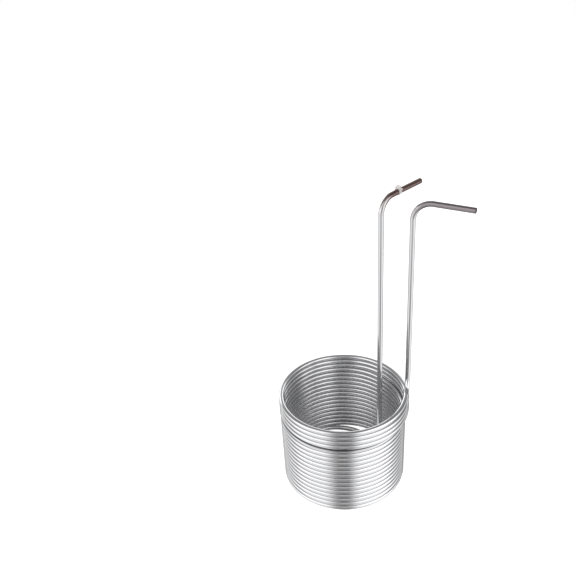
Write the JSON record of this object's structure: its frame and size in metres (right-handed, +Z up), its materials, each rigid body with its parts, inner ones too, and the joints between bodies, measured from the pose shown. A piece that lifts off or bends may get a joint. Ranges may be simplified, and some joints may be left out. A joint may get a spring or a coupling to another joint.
{
  "type": "immersion wort chiller",
  "caption": "Coil of polished stainless tube with one riser inside it and one outside, each bent over at the top into a level arm for a hose.",
  "frame": {"origin": "on the coil's axis, at the height of the surface that the bottom turn stands on", "axes": "+Z up along the coil's axis, +X towards the side where both risers stand, -Y towards the front"},
  "size_m": [0.3269, 0.2336, 0.5722],
  "materials": {
    "stainless_tube": "polished, with faint drawing lines along the tube",
    "tinted_tube": "polished, with a brown and violet heat tint",
    "nylon": "natural nylon, slightly translucent"
  },
  "bodies": {
    "root": {"inner_riser": "stainless_tube", "inner_foot_bend": "stainless_tube", "bottom_lead_in": "stainless_tube", "coil_turn_01": "stainless_tube", "coil_turn_02": "stainless_tube", "coil_turn_03": "stainless_tube", "coil_turn_04": "stainless_tube", "coil_turn_05": "stainless_tube", "coil_turn_06": "stainless_tube", "coil_turn_07": "stainless_tube", "coil_turn_08": "stainless_tube", "coil_turn_09": "stainless_tube", "coil_turn_10": "stainless_tube", "coil_turn_11": "stainless_tube", "coil_turn_12": "stainless_tube", "coil_turn_13": "stainless_tube", "coil_turn_14": "stainless_tube", "coil_turn_15": "stainless_tube", "coil_turn_16": "stainless_tube", "coil_turn_17": "stainless_tube", "coil_turn_18": "stainless_tube", "coil_turn_19": "stainless_tube", "top_lead_out": "stainless_tube", "outer_foot_bend": "stainless_tube", "outer_riser": "stainless_tube", "inner_arm_bend": "tinted_tube", "inner_arm_run_out": "tinted_tube", "inner_arm": "tinted_tube", "outer_arm_bend": "tinted_tube", "outer_arm": "tinted_tube", "cable_tie": "nylon"}
  },
  "joints": []
}
